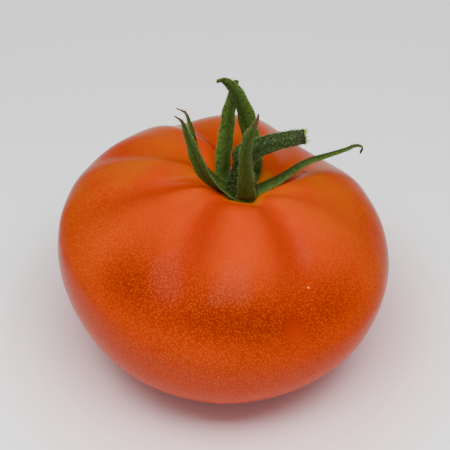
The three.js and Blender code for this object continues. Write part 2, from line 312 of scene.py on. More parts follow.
# The floor, the softbox over the front of the fruit, and the light of the room all round.
FLOOR_HALF = 3000.0
FLOOR_DROP = 0.02                # keeps the floor just clear of the flat spot
FLOOR_SHADE_FADE = (-90.0, 90.0)       # along Y, from the nearer tone to the farther one, painted dimmer farther off as the light's falloff
BOUNCE_FADE = (45.0, 70.0)         # from the origin, where the painted red bounce light from the fruit ends
SOFTBOX_SIZE = (360.0, 180.0)
SOFTBOX_AT = (0.0, -145.0, 400.0)
SOFTBOX_AIM = (0.0, 0.0, 30.0)
SOFTBOX_WATTS = 3.5
ROOM_COLOUR = "cfd0d2"
ROOM_LIGHT = 0.8

# Unevenness: how many sines, how their lengths vary, and how much their mean is raised.
WAVES = 14
WAVE_SPREAD = (0.6, 1.4)
WAVE_GAIN = 1.6

PATH_STEPS = 40                  # points on each stretch of a path, before they are spaced evenly

# Where a Mix node that mixes colours has its sockets.
MIX_A, MIX_B, MIX_RESULT = 6, 7, 2


def hex_colour(code):
    """An sRGB colour, given as six hex digits, as linear red, green, blue and alpha."""
    srgb = np.array([int(code[i:i + 2], 16) for i in (0, 2, 4)]) / 255
    linear = np.where(srgb <= 0.04045, srgb / 12.92, ((srgb + 0.055) / 1.055) ** 2.4)
    return (*linear.tolist(), 1.0)


def smoothstep(value, low, high):
    """0 below low, 1 above high, and the cubic 3t^2 - 2t^3 between."""
    t = np.clip((value - low) / (high - low), 0, 1)
    return t * t * (3 - 2 * t)


def unit(vectors):
    """Vectors along the last axis, each brought to length 1."""
    return vectors / np.maximum(np.linalg.norm(vectors, axis=-1, keepdims=True), 1e-12)


def even_curve(values, t):
    """A smooth change through values that stand at even steps of t from 0 to 1.

    Between two values it is the cubic whose slope at each is half the difference of the two
    beside it, with the end values used twice.
    """
    values = np.asarray(values, float)
    padded = np.concatenate([values[:1], values, values[-1:]])
    place = np.clip(t, 0, 1) * (len(values) - 1)
    step = np.minimum(place.astype(int), len(values) - 2)
    u = place - step
    a, b, c, d = (padded[step + k] for k in range(4))
    return 0.5 * (2 * b + (c - a) * u + (2 * a - 5 * b + 4 * c - d) * u ** 2
                  + (3 * b - a - 3 * c + d) * u ** 3)


def smooth_path(points, count):
    """Points at even lengths along a smooth curve through the given ones, and its length.

    Its knots stand apart by the square root of the distance, and each stretch blends three
    straight lines twice, which goes through every given point without loops.
    """
    points = np.asarray(points, float)
    points = np.vstack([2 * points[0] - points[1], points, 2 * points[-1] - points[-2]])
    pieces = []
    for p in (points[i:i + 4] for i in range(len(points) - 3)):
        knots = np.concatenate([[0], np.cumsum(np.linalg.norm(np.diff(p, axis=0), axis=1) ** 0.5)])
        t = np.linspace(knots[1], knots[2], PATH_STEPS)[:, None]

        def blend(a, b, i, j):
            return ((knots[j] - t) * a + (t - knots[i]) * b) / (knots[j] - knots[i])

        a1, a2, a3 = blend(p[0], p[1], 0, 1), blend(p[1], p[2], 1, 2), blend(p[2], p[3], 2, 3)
        pieces.append(blend(blend(a1, a2, 0, 2), blend(a2, a3, 1, 3), 1, 2)[:-1])
    dense = np.vstack([*pieces, points[-2:-1]])
    lengths = np.concatenate([[0], np.cumsum(np.linalg.norm(np.diff(dense, axis=0), axis=1))])
    at = np.linspace(0, lengths[-1], count)
    path = np.stack([np.interp(at, lengths, dense[:, k]) for k in range(3)], axis=1)
    return path, lengths[-1]


def waves(points, wavelength, seed):
    """A soft seeded unevenness, about -1 to 1: the mean of sines that run in random directions."""
    rng = np.random.default_rng(seed)
    directions = unit(rng.normal(size=(WAVES, 3))) * (2 * np.pi / wavelength)
    directions = directions * rng.uniform(*WAVE_SPREAD, size=(WAVES, 1))
    return np.sin(points @ directions.T + rng.uniform(0, 2 * np.pi, WAVES)).mean(axis=-1) * WAVE_GAIN


def ring_faces(rows, columns):
    """Quads between rows of points that each close into a ring, facing out of a rising tube."""
    r, c = np.meshgrid(np.arange(rows - 1), np.arange(columns), indexing="ij")
    here, beside = r * columns + c, r * columns + (c + 1) % columns
    return np.stack([here, beside, beside + columns, here + columns], axis=-1).reshape(-1, 4)


def tube_faces(rows, columns):
    """The ring quads of a tube, and a fan to a point at each end, after the rings' own points."""
    low, high = rows * columns, rows * columns + 1
    c = np.arange(columns)
    beside = (c + 1) % columns
    last = (rows - 1) * columns
    bottom = np.stack([np.full(columns, low), beside, c], axis=1)
    top = np.stack([np.full(columns, high), last + c, last + beside], axis=1)
    return ring_faces(rows, columns).tolist() + bottom.tolist() + top.tolist()


def make_piece(name, points, faces, material, node, values=None):
    """Puts points in mm into a new smooth mesh that stands for a node, with values on its points."""
    mesh = bpy.data.meshes.new(name)
    mesh.from_pydata((np.asarray(points, float) * MM).tolist(), [], [list(f) for f in faces])
    for label, numbers in (values or {}).items():
        layer = mesh.attributes.new(label, "FLOAT", "POINT")
        layer.data.foreach_set("value", np.asarray(numbers, np.float32).ravel())
    mesh.polygons.foreach_set("use_smooth", np.ones(len(mesh.polygons), bool))
    mesh.materials.append(material)
    mesh.validate()
    mesh.update()
    piece = bpy.data.objects.new(name, mesh)
    bpy.context.scene.collection.objects.link(piece)
    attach(piece, BODY)
    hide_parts(node)


def add_node(tree, kind, inputs=None, **settings):
    """Adds a shader node, gives it its settings, and fills its sockets by name or number.

    A socket gets a value or a link. A node given for one links its first output.
    """
    node = tree.nodes.new("ShaderNode" + kind)
    for name, value in settings.items():
        setattr(node, name, value)
    for name, value in (inputs or {}).items():
        if isinstance(value, bpy.types.Node):
            value = value.outputs[0]
        if isinstance(value, bpy.types.NodeSocket):
            tree.links.new(value, node.inputs[name])
        else:
            node.inputs[name].default_value = value
    return node


def new_material(name, *values):
    """A material to fill, its tree, and the sockets of a point's place and of its own values."""
    material = bpy.data.materials.new(name)
    material.use_nodes = True
    tree = material.node_tree
    tree.nodes.clear()
    place = add_node(tree, "TexCoord").outputs["Object"]
    own = (add_node(tree, "Attribute", attribute_name=value) for value in values)
    return material, tree, place, *(node.outputs["Fac"] for node in own)


def finish_surface(tree, tone, layers, inputs):
    """Lays colours over a tone, each by its share from 0 to 1, and ends a material with its shader."""
    for share, colour in layers:
        mixed = add_node(tree, "Mix", {0: share, MIX_A: tone, MIX_B: colour}, data_type="RGBA")
        tone = mixed.outputs[MIX_RESULT]
    shader = add_node(tree, "BsdfPrincipled", {"Base Color": tone, **inputs})
    add_node(tree, "OutputMaterial", {"Surface": shader})


# The fruit.

def rib_relief(azimuth, height, radius):
    """How far the skin stands out, and how deep in a groove it lies.

    A groove's line turns by its fan times exp(-(radius / FAN_REACH)^2). Between two lines the
    nearness is (1 + cos 2 pi s) / 2, where s is the share of the way. A groove presses in by
    depth times nearness to its sharpness, and a rib swells by one minus nearness. Both fade out
    below.
    """
    lines = np.radians(GROOVE_AT + GROOVE_FAN * np.exp(-((radius[..., None] / FAN_REACH) ** 2)))
    turns = (azimuth[..., None] - lines) % (2 * np.pi)
    index = turns.argmin(axis=-1)
    after = (index + 1) % len(GROOVES)
    here, there = (np.take_along_axis(lines, k[..., None], axis=-1)[..., 0] for k in (index, after))
    share = turns.min(axis=-1) / ((there - here) % (2 * np.pi))
    nearness = (1 + np.cos(2 * np.pi * share)) / 2
    nearest = np.where(share < 0.5, index, after)
    sharp = nearness ** GROOVE_SHARPNESS[nearest] * smoothstep(height, *GROOVE_FADE)
    swell = RIB_SWELL[index] * (1 - nearness) * smoothstep(height, *SWELL_FADE)
    return swell - GROOVE_DEPTH[nearest] * sharp, sharp * np.minimum(GROOVE_DEPTH[nearest] / 2, 1)


def leant_over(x, y, z):
    """Points that lean with the fruit, by LEAN from +Z towards +X."""
    return np.stack([x * np.cos(LEAN) + z * np.sin(LEAN), y, z * np.cos(LEAN) - x * np.sin(LEAN)],
                    axis=-1)


def skin_points(latitude, azimuth, grow):
    """Points of the skin in mm, with their height over the widest level and their groove share.

    A superellipse of revolution, whose upper and lower half have their own height and power,
    moved along its normal by the ribs' relief, with a round hollow pressed into its top, its top
    and base moved along X, leant over, and cut flat at the floor.
    """
    upper = latitude > 0
    power = 2 / np.where(upper, SHOULDER_POWER, BASE_POWER)
    reach = np.where(upper, SHOULDER_RISE, BASE_DROP)
    level, out = np.sin(latitude), np.maximum(np.cos(latitude), 0)
    radius = EQUATOR_RADIUS * out ** power
    height = np.sign(level) * reach * np.abs(level) ** power

    normal = unit(np.stack([out / EQUATOR_RADIUS, level / reach], axis=-1))
    relief, groove = rib_relief(azimuth, height, radius)
    start = 1 - np.exp(-((radius / RIB_START) ** 2))
    lift = relief * start + grow
    dip = np.where(upper, CAVITY_DEPTH * np.exp(-((radius / CAVITY_REACH) ** 2)), 0)

    ring = radius + normal[..., 0] * lift
    shift = (CAVITY_SHIFT * smoothstep(height, *SHIFT_ABOVE)
             + BASE_SHIFT * smoothstep(-height, *SHIFT_BELOW))
    x, y = ring * np.cos(azimuth) + shift, ring * np.sin(azimuth)
    z = height - dip + normal[..., 1] * lift
    points = leant_over(x, y, z) + EQUATOR_CENTRE
    points[..., 2] = np.maximum(points[..., 2], 0)
    return points, height, groove * start


def spot_on_skin(latitude, azimuth):
    """The point of the skin at a latitude and an azimuth in degrees."""
    return skin_points(*np.radians([[latitude], [azimuth]]), -SKIN_INSET)[0][0]


def tomato_skin(colours):
    """Ripe tomato skin: a thin waxed cuticle over orange-red flesh.

    It gives a smooth, softly mirrored surface, red in a fine net between yellow flecks on the
    sides, plainer orange on the shoulders, and corky yellow round the calyx.
    """
    material, tree, place, fronted, under, shaded_belt, flecked, groove, collar, scar = new_material(
        "tomato_skin", "front", "under", "shaded_belt", "flecked", "groove", "collar", "scar")

    # Flecks stand at the middles of cells, pushed about a little.
    wander = add_node(tree, "TexNoise", {
        "Vector": place, "Scale": 1 / (WANDER_SIZE * MM), "Detail": 2})
    bent = add_node(tree, "VectorMath", {0: wander.outputs["Color"], 1: (WANDER * MM,) * 3},
                    operation="MULTIPLY")
    bent = add_node(tree, "VectorMath", {0: place, 1: bent}, operation="ADD")
    cells = add_node(tree, "TexVoronoi", {"Vector": bent, "Scale": 1 / (FLECK_SPACING * MM)})
    fleck = add_node(tree, "MapRange", {
        "Value": cells.outputs["Distance"], "From Min": 0.1, "From Max": 0.5, "To Min": 1, "To Max": 0})
    between = add_node(tree, "Math", {0: 1.0, 1: fleck}, operation="SUBTRACT")
    fleck, between = (
        add_node(tree, "Math", {0: part, 1: flecked}, operation="MULTIPLY")
        for part in (fleck, between))
    patches = add_node(tree, "TexNoise", {
        "Vector": place, "Scale": 1 / (PATCH_SIZE * MM), "Detail": 4})
    patch = add_node(tree, "MapRange", {
        "Value": patches.outputs["Fac"], "From Min": 0.38, "From Max": 0.64})

    layers = [(fronted, colours.front), (patch, colours.patch), (under, colours.under),
              (shaded_belt, colours.shaded_belt), (groove, colours.groove), (between, colours.net),
              (fleck, colours.fleck), (collar, colours.collar)]
    # The dry mark is a dark fleck; the pale mark is a painted glint.
    for (*at, radius), colour in ((DRY_MARK, colours.mark), (GLINT_MARK, colours.pale)):
        away = add_node(tree, "VectorMath", {0: place, 1: (spot_on_skin(*at) * MM).tolist()},
                        operation="DISTANCE")
        marked = add_node(tree, "MapRange", {
            "Value": away.outputs["Value"], "From Min": MARK_CORE * radius * MM,
            "From Max": radius * MM, "To Min": 1, "To Max": 0})
        layers.append((marked, colour))

    grain = add_node(tree, "TexNoise", {
        "Vector": place, "Scale": 1 / (SKIN_GRAIN * MM), "Detail": 3})
    dents = add_node(tree, "Bump", {
        "Height": grain.outputs["Fac"], "Strength": 0.12, "Distance": SKIN_GRAIN_DEPTH * MM})
    rough = add_node(tree, "MapRange", {
        "Value": patches.outputs["Fac"], "To Min": 0.19, "To Max": 0.25})
    finish_surface(tree, colours.shoulder, [*layers, (scar, colours.scar)], {
        "Roughness": rough, "Normal": dents, "IOR": 1.45,
        "Specular IOR Level": 0.016, "Subsurface Weight": 0.1, "Subsurface Radius": (1.0, 0.3, 0.1),
        "Subsurface Scale": FLESH_DEPTH * MM})
    return material


class TomatoSizes(bpy.types.PropertyGroup):
    """Sizes that a grower or a modeller may want to change."""

    unevenness: FloatProperty(
        name="Skin unevenness", description="Depth of the shallow dents in the skin",
        default=0.16 * MM, min=0, unit="LENGTH")
    sepal_thickness: FloatProperty(
        name="Sepal thickness", description="Thickness of a sepal along its midrib",
        default=0.8 * MM, min=0.1 * MM, unit="LENGTH")
    hair_length: FloatProperty(
        name="Hair length", description="Mean length of the short hairs on the stem and calyx",
        default=0.55 * MM, min=0, unit="LENGTH")
    hair_radius: FloatProperty(
        name="Hair radius", description="Radius of a hair at its foot",
        default=0.045 * MM, min=0, unit="LENGTH")
    stem_hairs: IntProperty(
        name="Stem hairs", description="Number of short hairs on the stem", default=2600, min=0)
    sepal_hairs: IntProperty(
        name="Sepal hairs", description="Number of short hairs on each sepal", default=520, min=0)


def colour_property(label, code, use):
    """A colour that the panel shows, with an sRGB hex default."""
    return FloatVectorProperty(
        name=label, description=use, subtype="COLOR", size=4, min=0, max=1, default=hex_colour(code))


class TomatoColours(bpy.types.PropertyGroup):
    """Colours of the skin, the green parts and the dry ones."""

    shoulder: colour_property("Shoulders", "a74600", "Clean orange of the shoulders")
    front: colour_property("Front", "b63300", "Warm orange of the front, above the belt")
    patch: colour_property("Patches", "a83000", "Orange-red of the riper patches")
    # Painted light: the paler, bluish orange of the underside stands in for bounce light from the floor
    # and its reflection.
    under: colour_property("Underside", "ae3f26", "Paler orange below the widest level")
    # Painted shade: the darker red of the belt across the front.
    shaded_belt: colour_property("Ripe belt", "520d00", "Deep red-orange across the front")
    groove: colour_property("Grooves", "8c1c00", "Red along the grooves")
    net: colour_property("Net", "861f00", "Red of the net between the flecks")
    fleck: colour_property("Flecks", "c2580c", "Yellow-orange of the flecks")
    collar: colour_property("Collar", "a8680a", "Corky yellow skin round the calyx")
    mark: colour_property("Dry mark", "2a0f08", "Near black of a dry fleck")
    # Painted highlight: the pale mark is a glint.
    pale: colour_property("Pale mark", "d8a890", "Light speck")
    scar: colour_property("Scar", "6b3c18", "Corky brown of the blossom scar")
    leaf: colour_property("Sepal face", "43571b", "Green of a sepal")
    vein: colour_property("Sepal vein", "22310e", "Dark green beside the midrib")
    root: colour_property("Sepal root", "3b3d0a", "Olive brown where a sepal leaves the disc")
    dry: colour_property("Dry tip", "503426", "Brown of a withered tip")
    bark: colour_property("Stem", "142108", "Dark green of the stem")
    bark_pale: colour_property("Stem ridge", "20300f", "Paler green on the stem's ridges")
    withered: colour_property("Withered edge", "1c140c", "Brown black of the dried edge of the cut")
    pith: colour_property("Cut pith", "a3b436", "Yellow-green of the cut end")
    hair: colour_property("Hairs", "76834e", "Pale green of the hairs")
    # The floor's tones paint light: brighter near the eye and dimmer farther back, as the light's
    # falloff.
    floor: colour_property("Floor", "fdfeff", "Plain pale floor, nearer the eye")
    # Painted light: the floor's pink beside the fruit is the fruit's red bounce light.
    floor_red_bounce: colour_property("Floor near", "efcfd0", "Floor that glows a little red beside the fruit")
    floor_back_shade: colour_property("Floor behind", "e8e9e8", "Plain pale floor, farther off")


class TOMATO_OT_fruit(bpy.types.Operator):
    """Grows the fruit's skin, closed and flat where it rests"""

    bl_idname = "tomato.fruit"
    bl_label = "Fruit"

    def execute(self, context):
        sizes, colours = context.scene.tomato_sizes, context.scene.tomato_colours
        latitude = np.linspace(-np.pi / 2, np.pi / 2, SKIN_ROWS + 2)
        azimuth = np.linspace(-np.pi, np.pi, SKIN_COLUMNS, endpoint=False)
        lat, azi = np.meshgrid(latitude, azimuth, indexing="ij")
        smooth = skin_points(lat, azi, -SKIN_INSET)[0]
        dent = -sizes.unevenness / MM * (1 + waves(smooth, DENT_SIZE, DENT_SEED)) / 2
        points, height, groove = skin_points(lat, azi, dent - SKIN_INSET)

        def near(place, core, radius):
            away = np.linalg.norm(points - place, axis=-1)
            return 1 - smoothstep(away, core, radius)

        front = np.cos(azi - FRONT)
        spot, green = (near(spot_on_skin(*at), SPOT_CORE * radius, radius)
                       for *at, radius in (SMOOTH_SPOT, GREEN_PATCH))
        # Painted shade: a darker band across the front, just over the widest level.
        belt = np.exp(-(((height - BELT_HEIGHT) / BELT_SPREAD) ** 2)) * smoothstep(front, *BELT_FADE)
        thinned = 1 - FLECK_THINNING * smoothstep(height, *FLECK_FADE)
        values = {
            "front": smoothstep(front, *FRONT_FADE),
            # painted bounce light and floor reflection below the widest level
            "under": smoothstep(-height, *UNDER_FADE),
            "shaded_belt": BELT_SHARE * belt * (1 - BELT_IN_SPOT * spot),
            "flecked": thinned * (FLECK_SHARE[0] + FLECK_SHARE[1] * front) * (1 - spot),
            "groove": (GROOVE_SHARE[0] + GROOVE_SHARE[1] * front) * groove,
            "collar": np.maximum(COLLAR_SHARE * near(CALYX, *COLLAR_FADE), GREEN_SHARE * green),
            "scar": near(spot_on_skin(-90, 0), *SCAR_FADE),
        }

        # The first and the last row each become one point, which closes the skin there.
        def closed(grid):
            grid = grid.reshape(SKIN_ROWS + 2, SKIN_COLUMNS, -1)
            rings = grid[1:-1].reshape(-1, grid.shape[-1])
            return np.vstack([rings, grid[0].mean(axis=0), grid[-1].mean(axis=0)])

        make_piece("fruit_skin", closed(points), tube_faces(SKIN_ROWS, SKIN_COLUMNS),
                   tomato_skin(colours), "fruit", {k: closed(v) for k, v in values.items()})
        return {"FINISHED"}


# The calyx.

def sepal_surface(spec, thickness):
    """Points, faces and values of one sepal.

    Its section is a thin strip, cupped across and a little thinner at its edges, with a ridge
    along its outer face and a furrow along its inner one. It is carried along the sepal's path,
    its width turning from the root's direction to the tip's, and ends in a point.
    """
    path = smooth_path(spec["path"], SEPAL_ROWS)[0]
    tangent = unit(np.gradient(path, axis=0))
    t = np.linspace(0, 1, SEPAL_ROWS)[:, None]
    root, tip = unit(np.asarray(spec["across"], float))
    side = root * (1 - t) + tip * t
    side = unit(side - (side * tangent).sum(axis=1, keepdims=True) * tangent)
    face = np.cross(tangent, side)
    width = np.maximum(even_curve(spec["widths"], t), SEPAL_LEAST)

    around = np.linspace(0, 2 * np.pi, SEPAL_SIDES, endpoint=False)
    u, outer = -np.cos(around), np.sin(around)
    ripple = np.sin(2 * np.pi * (t * RIPPLE_COUNT + RIPPLE_OFFSET * np.sign(u))) * np.abs(u) ** 3
    reach = width / 2 * (1 + RIPPLE * ripple)
    rounded = np.sign(outer) * np.abs(outer) ** EDGE_ROUNDING
    body = -thickness / 2 * rounded * (1 - EDGE_THINNING * u ** 2)
    rib = MIDRIB_RISE * np.exp(-((u / MIDRIB_WIDTH) ** 2)) * np.where(outer > 0, -1.0, FURROW_SHARE)
    fade = np.minimum(1, width / 2) * (1 - TIP_THINNING * smoothstep(t, *TIP_FADE))
    roll = ROLL * np.sin(2 * np.pi * t * ROLL_COUNT + 1)
    out = (spec["cup"] + roll) * width * u ** 2 + (body + rib) * fade
    points = path[:, None] + side[:, None] * (u * reach)[..., None] + face[:, None] * out[..., None]
    points = np.vstack([points.reshape(-1, 3), path[:1], path[-1:] + tangent[-1:] * TIP_POINT]) + CALYX

    def with_ends(grid, first, last):
        return np.append(np.broadcast_to(grid, (SEPAL_ROWS, SEPAL_SIDES)).ravel(), [first, last])

    dry = smoothstep(t, spec["dry"] + DRY_FADE[0], spec["dry"] + DRY_FADE[1])
    values = {
        "along": with_ends(t, 0, 1),
        "across": with_ends(np.abs(u), 0, 0),
        "dry": with_ends(dry, 0, dry[-1, 0]),
        "brown": with_ends(spec["brown"] * (1 - smoothstep(t, *BROWN_FADE)), 0, 0),
    }
    return points, tube_faces(SEPAL_ROWS, SEPAL_SIDES), values


def disc_surface():
    """Points, faces and values of the calyx's disc.

    A low round drum with rounded edges, its rim swelling a little at each sepal and its top
    uneven, leant over with the fruit.
    """
    turn = np.linspace(0, 2 * np.pi, DISC_SIDES, endpoint=False)
    slope = np.linspace(-np.pi / 2, np.pi / 2, DISC_ROWS + 2)[1:-1]
    roots = np.array([np.arctan2(s["path"][1][1], s["path"][1][0]) for s in SEPALS.values()])
    off = (turn[:, None] - roots + np.pi) % (2 * np.pi) - np.pi
    lobe = np.cos(off.clip(-LOBE_HALF, LOBE_HALF) / LOBE_HALF * np.pi / 2).clip(0).max(axis=1)
    out = DISC_RADIUS * np.cos(slope)[:, None] ** DISC_SIDE_POWER * (1 + LOBE_RISE * lobe)
    rise = np.where(slope < 0, -DISC_BOTTOM, DISC_TOP) * np.abs(np.sin(slope)) ** DISC_TOP_POWER
    x, y = out * np.cos(turn), out * np.sin(turn)
    points = leant_over(x, y, np.broadcast_to(rise[:, None], x.shape))
    points = points + DISC_BUMP * waves(points, DISC_BUMP_SIZE, DISC_SEED)[..., None] * unit(points)
    ends = leant_over(np.zeros(2), np.zeros(2), np.array([-DISC_BOTTOM, DISC_TOP]))
    points = np.vstack([points.reshape(-1, 3), ends]) + CALYX
    values = {"along": 0.0, "across": 0.5, "dry": 0.0, "brown": DISC_BROWN}
    values = {name: np.full(len(points), value) for name, value in values.items()}
    return points, tube_faces(DISC_ROWS, DISC_SIDES), values


def sepal_leaf(colours):
    """Living leaf of a tomato's calyx, with dry brown points.

    It gives a matt, finely hairy green, darker beside the midrib, paler at the rims, and olive
    brown towards the roots.
    """
    material, tree, place, along, across, dry, brown = new_material(
        "sepal_leaf", "along", "across", "dry", "brown")
    mottle = add_node(tree, "TexNoise", {
        "Vector": place, "Scale": 1 / (LEAF_MOTTLE * MM), "Detail": 5})
    mottled = add_node(tree, "MapRange", {
        "Value": mottle.outputs["Fac"], "From Min": 0.35, "From Max": 0.7})
    beside = add_node(tree, "MapRange", {
        "Value": across, "From Min": 0.1, "From Max": 0.75, "To Min": 0.75, "To Max": 0})
    rim = add_node(tree, "MapRange", {
        "Value": across, "From Min": 0.82, "From Max": 1.0, "To Min": 0, "To Max": 0.25})
    # Side veins leave the midrib at a slant.
    wave = add_node(tree, "Math", {0: across, 1: VEIN_SLANT, 2: along}, operation="MULTIPLY_ADD")
    wave = add_node(tree, "Math", {
        0: wave, 1: 2 * np.pi * SEPAL_LENGTH / VEIN_SPACING}, operation="MULTIPLY")
    wave = add_node(tree, "Math", {0: wave}, operation="SINE")
    veins = add_node(tree, "MapRange", {"Value": wave, "From Min": 0.6, "From Max": 1.0})

    layers = [(mottled, colours.vein), (beside, colours.vein),
              (brown, colours.root), (rim, colours.hair), (dry, colours.dry)]
    dents = add_node(tree, "Math", {0: mottle.outputs["Fac"], 1: veins}, operation="ADD")
    bump = add_node(tree, "Bump", {"Height": dents, "Strength": 0.8, "Distance": LEAF_RELIEF * MM})
    finish_surface(tree, colours.leaf, layers, {
        "Normal": bump, "Roughness": 0.62, "Specular IOR Level": 0.1})
    return material


class TOMATO_OT_calyx(bpy.types.Operator):
    """Grows the six sepals and the disc that they stand on"""

    bl_idname = "tomato.calyx"
    bl_label = "Calyx"

    def execute(self, context):
        sizes, colours = context.scene.tomato_sizes, context.scene.tomato_colours
        leaf = sepal_leaf(colours)
        points, faces, values = disc_surface()
        make_piece("calyx_disc", points, faces, leaf, "calyx", values)
        for name, spec in SEPALS.items():
            points, faces, values = sepal_surface(spec, sizes.sepal_thickness / MM)
            make_piece(f"sepal_{name}", points, faces, leaf, "calyx", values)
        return {"FINISHED"}


# The stem.

def stem_frame():
    """The stem's middle line, its tangents, its upward directions, and its lengths in mm."""
    path, length = smooth_path(STEM_PATH, STEM_STATIONS)
    tangent = unit(np.gradient(path, axis=0))
    return path, tangent, unit(np.cross(tangent, SIDEWAYS)), np.linspace(0, length, STEM_STATIONS)


def stem_length():
    """The length of the stem's middle line, from its foot to its cut."""
    return stem_frame()[-1][-1]


def stem_ridges(at, angle):
    """From -1 in a furrow to 1 on a ridge: the cosine of the angle times their count, twisted."""
    return np.cos(STEM_RIDGES * angle + STEM_TWIST * at)


def stem_radius(at, angle, length):
    """The stem's radius at a length and an angle round it, from its upper side.

    A smooth taper, a narrow pinch at the joint, a swelling on the knuckle's upper side, and low
    ridges that run along it and fade at the foot.
    """
    radius = even_curve(STEM_RADII, at / length)
    pinch = CREASE_DEPTH * np.exp(-(((at - CREASE_AT) / CREASE_WIDTH) ** 2))
    swell = KNUCKLE_RISE * np.exp(-(((at - KNUCKLE_AT) / KNUCKLE_SPREAD) ** 2))
    swell = swell * (KNUCKLE_ROUND[0] + KNUCKLE_ROUND[1] * np.cos(angle))
    ridges = STEM_RIDGE_RISE * stem_ridges(at, angle) * smoothstep(at, *STEM_RIDGE_FADE)
    return radius - pinch + swell + ridges


def stem_points(at, angle):
    """Points of the stem's skin at lengths and angles, which way it faces there, and its tangents."""
    *columns, lengths = stem_frame()
    centre, tangent, up = (np.stack([np.interp(at, lengths, v[:, k]) for k in range(3)], axis=-1)
                           for v in columns)
    facing = up * np.cos(angle)[..., None] - SIDEWAYS * np.sin(angle)[..., None]
    points = centre + facing * stem_radius(at, angle, lengths[-1])[..., None]
    points = points + facing * (STEM_BUMP * waves(points, STEM_BUMP_SIZE, STEM_SEED))[..., None]
    return points + CALYX, facing, tangent


def stem_bark(colours):
    """Green stem skin, ridged and downy.

    It gives a matt dark green with paler streaks along its ridges and many pale specks.
    """
    material, tree, place, ridge, withered = new_material("stem_bark", "ridge", "withered")
    mottle = add_node(tree, "TexNoise", {
        "Vector": place, "Scale": 1 / (STEM_MOTTLE * MM), "Detail": 4})
    mottled = add_node(tree, "MapRange", {
        "Value": mottle.outputs["Fac"], "From Min": 0.4, "From Max": 0.7})
    # Specks stand for hair roots, and are drawn as coarse as they need to show.
    cells = add_node(tree, "TexVoronoi", {"Vector": place, "Scale": 1 / (STEM_SPECK * MM)})
    speck = add_node(tree, "MapRange", {
        "Value": cells.outputs["Distance"], "From Min": 0.1, "From Max": 0.3, "To Min": 0.6,
        "To Max": 0})
    layers = [(mottled, colours.bark_pale), (ridge, colours.bark_pale),
              (speck, colours.hair), (withered, colours.withered)]
    bump = add_node(tree, "Bump", {
        "Height": mottle.outputs["Fac"], "Strength": 0.6, "Distance": STEM_RELIEF * MM})
    finish_surface(tree, colours.bark, layers, {
        "Normal": bump, "Roughness": 0.6, "Specular IOR Level": 0.1})
    return material


class TOMATO_OT_stem(bpy.types.Operator):
    """Grows the stem from its foot in the disc, past the knuckle, to the cut"""

    bl_idname = "tomato.stem"
    bl_label = "Stem"

    def execute(self, context):
        colours = context.scene.tomato_colours
        length = stem_length()
        at, angle = np.meshgrid(np.linspace(0, length, STEM_ROWS),
                                np.linspace(0, 2 * np.pi, STEM_SIDES, endpoint=False), indexing="ij")
        points, facing, tangent = stem_points(at, angle)
        ends = [points[0].mean(axis=0), points[-1].mean(axis=0) - tangent[-1, 0] * CUT_HOLLOW]
        ridge = (1 + stem_ridges(at, angle)) / 2
        top = (1 + np.cos(angle - WITHERED_TURN)) / 2
        begin, full = WITHERED_REACH
        withered = WITHERED_SHARE * smoothstep(at, length - begin * top, length - full)
        values = {"ridge": np.append(STEM_RIDGE_PALE * ridge ** 2, [0, 0]),
                  "withered": np.append(withered, [0, 1])}
        make_piece("stem_bark", np.vstack([points.reshape(-1, 3), ends]),
                   tube_faces(STEM_ROWS, STEM_SIDES), stem_bark(colours), "stem", values)
        return {"FINISHED"}


def cut_pith(colours):
    """Freshly cut stem tissue that has begun to dry.

    It gives a damp yellow-green middle with pale fibres, and a dark ring under the skin.
    """
    material, tree, place, out = new_material("cut_pith", "out")
    grain = add_node(tree, "TexNoise", {
        "Vector": place, "Scale": 1 / (PITH_GRAIN * MM), "Detail": 3})
    ring = add_node(tree, "MapRange", {"Value": out, "From Min": 0.62, "From Max": 0.95})
    layers = [(grain.outputs["Fac"], colours.bark_pale), (ring, colours.withered)]
    bump = add_node(tree, "Bump", {
        "Height": grain.outputs["Fac"], "Strength": 0.7, "Distance": PITH_RELIEF * MM})
    finish_surface(tree, colours.pith, layers, {"Normal": bump, "Roughness": 0.5})
    return material


class TOMATO_OT_cut_end(bpy.types.Operator):
    """Closes the stem's end with its cut pith, a little hollow and uneven"""

    bl_idname = "tomato.cut_end"
    bl_label = "Cut end"

    def execute(self, context):
        colours = context.scene.tomato_colours
        length = stem_length()
        turn = np.linspace(0, 2 * np.pi, STEM_SIDES, endpoint=False)
        rim, _, tangent = stem_points(np.full(STEM_SIDES, length), turn)
        middle, axis = rim.mean(axis=0), tangent[0]
        pith = cut_pith(colours)
        points = (middle + (rim - middle) * (CUT_WIDTH * CUT_OUT)[:, None, None]
                  + axis * CUT_RISE[:, None, None])
        points[3:] += axis * (CUT_BUMP * waves(points[3:], CUT_BUMP_SIZE, CUT_SEED))[..., None]
        ends = [middle + axis * CUT_RISE[0], middle + axis * CUT_RISE[-1]]
        values = {"out": np.append(np.repeat(CUT_OUT, STEM_SIDES), [1, 0])}
        make_piece("stem_cut_end", np.vstack([points.reshape(-1, 3), ends]),
                   tube_faces(len(CUT_OUT), STEM_SIDES), pith, "stem", values)

        # Torn fibres of pith stand up round the upper and the front side of the cut.
        rng = np.random.default_rng(FIBRE_SEED)
        turn = np.radians(rng.uniform(*FIBRE_TURN, FIBRES))
        rim = stem_points(np.full(FIBRES, length), turn)[0]
        feet = middle + (rim - middle) * rng.uniform(*FIBRE_OUT, (FIBRES, 1)) - axis * FIBRE_SUNK
        aim = unit(axis + rng.normal(scale=FIBRE_SPREAD, size=(FIBRES, 3))
                   + FIBRE_FLARE * unit(rim - middle))
        points, faces = hair_surface(feet, aim, rng.uniform(*FIBRE_LENGTH, FIBRES), FIBRE_RADIUS)
        make_piece("stem_fibres", points, faces, pith, "stem")
        return {"FINISHED"}


# Hairs.

